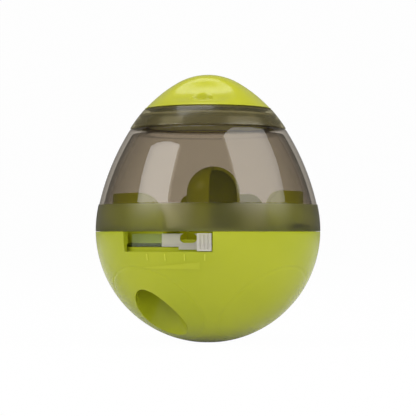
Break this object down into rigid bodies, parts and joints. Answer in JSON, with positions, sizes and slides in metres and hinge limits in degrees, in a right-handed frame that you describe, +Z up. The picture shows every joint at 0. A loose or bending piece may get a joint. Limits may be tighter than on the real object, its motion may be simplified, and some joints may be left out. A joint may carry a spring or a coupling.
{
  "type": "treat ball",
  "caption": "Egg-shaped treat-dispensing tumbler for pets: weighted bowl with a side outlet, sliding shutter, maze tray, clear dome and a screw lid.",
  "frame": {"origin": "middle of the flat spot that the tumbler stands on", "axes": "+Z up through the lid, -Y towards the control window"},
  "size_m": [0.1, 0.1, 0.1192],
  "materials": {
    "green_shell": "moulded, smooth",
    "green_cap": "moulded, smooth",
    "smoke_clear": "clear smoky, glossy",
    "smoke_frosted": "smoky, frosted",
    "shutter_clear": "milky, see-through",
    "grey_plastic": "moulded",
    "weight_steel": "turned",
    "screw_steel": "bright",
    "seal_rubber": "matt"
  },
  "bodies": {
    "base": {"bowl": "green_shell", "weight": "weight_steel", "weight_cover": "grey_plastic", "weight_screws": "screw_steel", "maze_tray": "green_shell", "tray_screws": "screw_steel"},
    "shutter": {"shutter": "shutter_clear"},
    "dome": {"dome": "smoke_clear", "bayonet_tongues": "smoke_clear"},
    "lid_seal": {"lid_seal": "seal_rubber"},
    "lid": {"lid_ring": "smoke_frosted", "lid_cap": "green_cap", "lid_plate": "green_shell", "lid_screws": "screw_steel"}
  },
  "joints": [
    {"name": "shutter_turn", "type": "hinge", "parent": "base", "child": "shutter", "pos_m": [0, 0, 0.0424], "axis": [0, 0, 1], "range_deg": [-40, 0]},
    {"name": "dome_turn", "type": "hinge", "parent": "base", "child": "dome", "pos_m": [0, 0, 0.049], "axis": [0, 0, 1], "range_deg": [0, 25]},
    {"name": "lid_lift", "type": "slide", "parent": "dome", "child": "lid_seal", "axis": [0, 0, 1], "range_m": [0, 0.006]},
    {"name": "lid_turn", "type": "hinge", "parent": "lid_seal", "child": "lid", "pos_m": [0, 0, 0.1], "axis": [0, 0, 1], "range_deg": [0, 360]}
  ],
  "couplings": [
    {"joint": "lid_lift", "follows": "lid_turn", "m_per_rad": 0.00095493}
  ]
}
